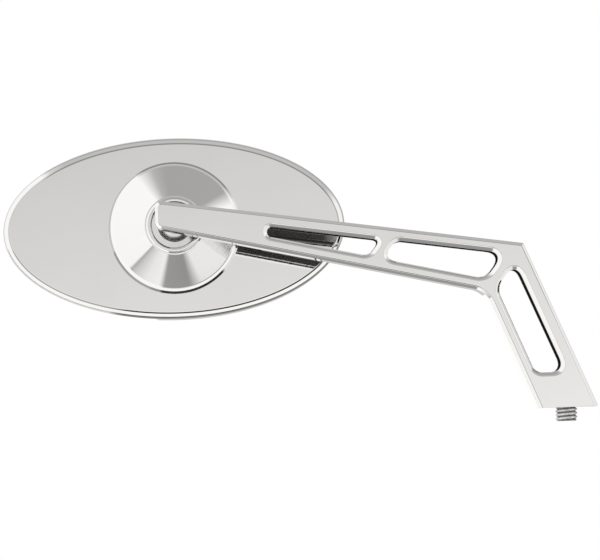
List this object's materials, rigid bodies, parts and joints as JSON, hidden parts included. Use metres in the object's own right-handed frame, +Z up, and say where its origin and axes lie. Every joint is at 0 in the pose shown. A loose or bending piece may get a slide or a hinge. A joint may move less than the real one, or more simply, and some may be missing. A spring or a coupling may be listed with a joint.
{
  "type": "motorcycle mirror",
  "caption": "Polished billet motorcycle mirror: an oval housing on a ball joint at the end of a bent, slotted flat arm with a threaded mounting stud in its foot.",
  "frame": {"origin": "on the mounting stud's axis, at the seat face of the arm's foot", "axes": "+Z up along the stud, away from its free end; +X away from the housing, along the foot's seat; +Y from the arm towards the mirror glass"},
  "size_m": [0.2162, 0.047, 0.1111],
  "materials": {
    "polished_aluminium": "polished billet, mirror bright",
    "satin_aluminium": "satin sheet",
    "stainless_steel": "machined stainless steel",
    "polished_steel": "ground and polished",
    "spring_steel": "oiled, dark",
    "liner_plastic": "moulded, natural white",
    "black_rubber": "matt",
    "black_foam": "open cells, matt",
    "mirror_glass": "silvered on the back, clear"
  },
  "bodies": {
    "arm": {"arm": "polished_aluminium", "mount_stud": "stainless_steel", "ball_stud": "polished_steel"},
    "front_liner": {"front_liner": "liner_plastic"},
    "rear_liner": {"rear_liner": "liner_plastic"},
    "head": {"socket_collar": "polished_aluminium", "socket_seal": "black_rubber", "socket_boss": "polished_aluminium", "pressure_cup": "stainless_steel", "front_disc_spring": "spring_steel", "rear_disc_spring": "spring_steel", "thrust_washer": "stainless_steel", "housing": "polished_aluminium", "clamp_plate": "stainless_steel", "lock_washers": "spring_steel", "clamp_screws": "stainless_steel", "backing_plate": "satin_aluminium", "backing_screws": "stainless_steel", "glass_pad": "black_foam", "mirror_glass": "mirror_glass", "rim_gasket": "black_rubber"}
  },
  "joints": [
    {"name": "tilt", "type": "hinge", "parent": "arm", "child": "front_liner", "pos_m": [-0.141, 0.0186, 0.072], "axis": [1, 0, 0], "range_deg": [-15, 15]},
    {"name": "pan", "type": "hinge", "parent": "front_liner", "child": "rear_liner", "pos_m": [-0.141, 0.0186, 0.072], "axis": [0, 0, 1], "range_deg": [-15, 15]},
    {"name": "spin", "type": "hinge", "parent": "rear_liner", "child": "head", "pos_m": [-0.141, 0.0186, 0.072], "axis": [0, 1, 0], "continuous": true}
  ]
}
